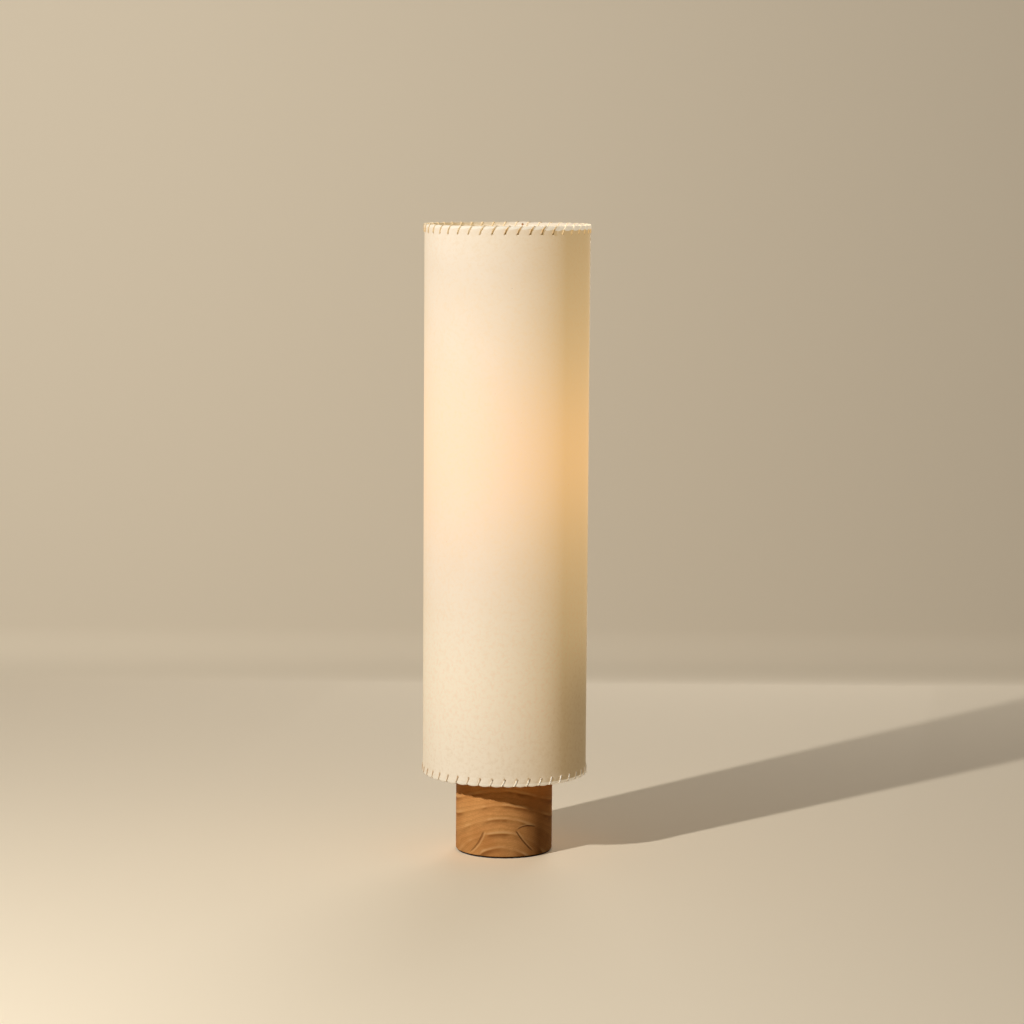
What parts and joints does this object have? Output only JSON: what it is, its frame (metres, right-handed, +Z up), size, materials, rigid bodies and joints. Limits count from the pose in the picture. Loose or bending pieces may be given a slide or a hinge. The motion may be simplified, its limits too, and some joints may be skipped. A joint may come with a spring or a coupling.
{
  "type": "cylinder shade floor lamp",
  "caption": "Column floor lamp: a tall laced parchment cylinder shade hung from a harp over a round wooden base.",
  "frame": {"origin": "on the floor under the middle of the base", "axes": "+Z up along the lamp's axis, front towards -Y, cord inlet at +Y"},
  "size_m": [0.3096, 0.3098, 1.169],
  "materials": {
    "oak": "oiled, satin",
    "felt": "wool felt",
    "steel_plate": "black enamel",
    "zinc_steel": "zinc plated",
    "iron": "as cast",
    "black_plastic": "moulded nylon",
    "white_plastic": "moulded",
    "aged_brass": "brushed, lightly aged",
    "lead_brown": "insulated lead",
    "lead_blue": "insulated lead",
    "liner_paper": "fibre liner",
    "dark_resin": "pressed resin",
    "contact_brass": "stamped",
    "thin_aluminium": "drawn",
    "bulb_nickel": "nickel plated",
    "black_glass": "insulating glass",
    "opal_plastic": "frosted",
    "board_white": "circuit board",
    "chip_yellow": "phosphor",
    "frame_white": "powder coated wire",
    "parchment": "parchment sheet, matt",
    "lace": "rawhide thong"
  },
  "bodies": {
    "base": {"felt_pad": "felt", "base_block": "oak", "bottom_cover": "steel_plate", "cover_screws": "zinc_steel", "ballast_weight": "iron", "cord_bush": "black_plastic", "terminal_block": "white_plastic", "terminal_screws": "zinc_steel", "fixing_screw": "zinc_steel", "rod_washer": "zinc_steel", "rod_nut": "zinc_steel", "lamp_pipe": "zinc_steel", "check_ring": "aged_brass", "pole_sleeve": "aged_brass", "neck_ring": "aged_brass", "lead_live": "lead_brown", "lead_neutral": "lead_blue", "harp_saddle": "aged_brass", "saddle_nut": "aged_brass", "holder_cap": "aged_brass", "set_screw": "zinc_steel", "holder_shell": "aged_brass", "holder_liner": "liner_paper", "holder_core": "dark_resin", "holder_screws": "contact_brass", "thread_shell": "thin_aluminium", "centre_contact": "contact_brass"},
    "bulb": {"bulb_cap": "bulb_nickel", "bulb_tip": "contact_brass", "bulb_glass_foot": "black_glass", "bulb_body": "white_plastic", "bulb_dome": "opal_plastic", "bulb_board": "board_white", "bulb_chips": "chip_yellow", "bulb_driver": "board_white"},
    "harp": {"harp_wire": "aged_brass", "harp_hub": "aged_brass"},
    "ferrule_left": {"ferrule_left": "aged_brass"},
    "ferrule_right": {"ferrule_right": "aged_brass"},
    "shade": {"top_ring": "frame_white", "bottom_ring": "frame_white", "frame_ribs": "frame_white", "hub_washer": "frame_white", "spider_arms": "frame_white", "shade_skin": "parchment", "top_lacing": "lace", "bottom_lacing": "lace"},
    "finial_washer": {"finial_washer": "aged_brass"},
    "finial": {"finial": "oak"}
  },
  "joints": [
    {"name": "bulb_out", "type": "slide", "parent": "base", "child": "bulb", "axis": [0, 0, 1], "range_m": [0, 0.025]},
    {"name": "harp_lift", "type": "slide", "parent": "base", "child": "harp", "axis": [0, 0, 1], "range_m": [0, 0.016]},
    {"name": "ferrule_left_slide", "type": "slide", "parent": "harp", "child": "ferrule_left", "axis": [0, 0, 1], "range_m": [0, 0.02]},
    {"name": "ferrule_right_slide", "type": "slide", "parent": "harp", "child": "ferrule_right", "axis": [0, 0, 1], "range_m": [0, 0.02]},
    {"name": "shade_lift", "type": "slide", "parent": "harp", "child": "shade", "axis": [0, 0, 1], "range_m": [0, 0.88]},
    {"name": "finial_rise", "type": "slide", "parent": "shade", "child": "finial_washer", "axis": [0, 0, 1], "range_m": [0, 0.01035]},
    {"name": "finial_turn", "type": "hinge", "parent": "finial_washer", "child": "finial", "pos_m": [0, 0, 1.0175], "axis": [0, 0, 1], "range_deg": [0, 3960]}
  ],
  "couplings": [
    {"joint": "finial_rise", "follows": "finial_turn", "m_per_rad": 0.00014972}
  ]
}
